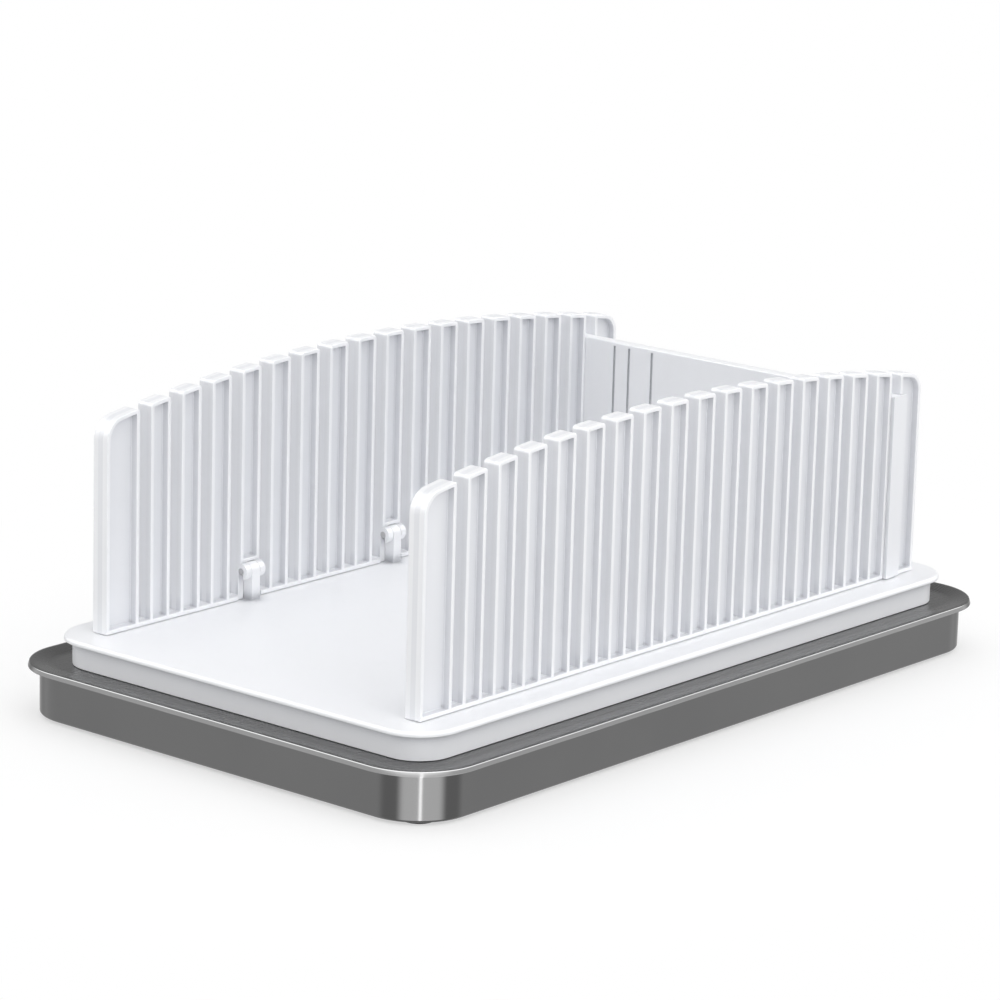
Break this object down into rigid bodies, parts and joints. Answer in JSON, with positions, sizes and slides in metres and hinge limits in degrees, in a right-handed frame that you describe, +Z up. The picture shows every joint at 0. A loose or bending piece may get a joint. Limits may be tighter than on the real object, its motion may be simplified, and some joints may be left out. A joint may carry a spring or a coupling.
{
  "type": "bread slicer guide",
  "caption": "Bread slicing guide: two arched comb walls that fold flat, a lift-out backstop and a white board standing on a shallow steel crumb tray.",
  "frame": {"origin": "on the table, under the middle of the tray", "axes": "X along the loaf with the open front at -X and the backstop at +X, Y across the loaf, Z up"},
  "size_m": [0.32, 0.194, 0.1148],
  "materials": {
    "steel": "satin",
    "white_plastic": "semi-gloss",
    "pin_steel": "bright",
    "rubber": "matte"
  },
  "bodies": {
    "tray": {"tray_pan": "steel", "tray_apron": "steel", "tray_foot_front_near": "rubber", "tray_foot_front_far": "rubber", "tray_foot_rear_near": "rubber", "tray_foot_rear_far": "rubber"},
    "slicer": {"base_board": "white_plastic", "base_pad_front_near": "rubber", "base_pad_front_far": "rubber", "base_pad_rear_near": "rubber", "base_pad_rear_far": "rubber", "near_hinge_pin_front": "pin_steel", "near_hinge_pin_middle": "pin_steel", "near_hinge_pin_rear": "pin_steel", "far_hinge_pin_front": "pin_steel", "far_hinge_pin_middle": "pin_steel", "far_hinge_pin_rear": "pin_steel"},
    "near_panel": {"near_comb_panel": "white_plastic"},
    "far_panel": {"far_comb_panel": "white_plastic"},
    "backstop_plate": {"backstop": "white_plastic"}
  },
  "joints": [
    {"name": "slicer_lift", "type": "slide", "parent": "tray", "child": "slicer", "axis": [0, 0, 1], "range_m": [0, 0.12]},
    {"name": "near_panel_fold", "type": "hinge", "parent": "slicer", "child": "near_panel", "pos_m": [0, -0.068, 0.0321], "axis": [-1, 0, 0], "range_deg": [0, 92]},
    {"name": "far_panel_fold", "type": "hinge", "parent": "slicer", "child": "far_panel", "pos_m": [0, 0.068, 0.0393], "axis": [1, 0, 0], "range_deg": [0, 91]},
    {"name": "backstop_lift", "type": "slide", "parent": "slicer", "child": "backstop_plate", "axis": [0, 0, 1], "range_m": [0, 0.09]}
  ]
}
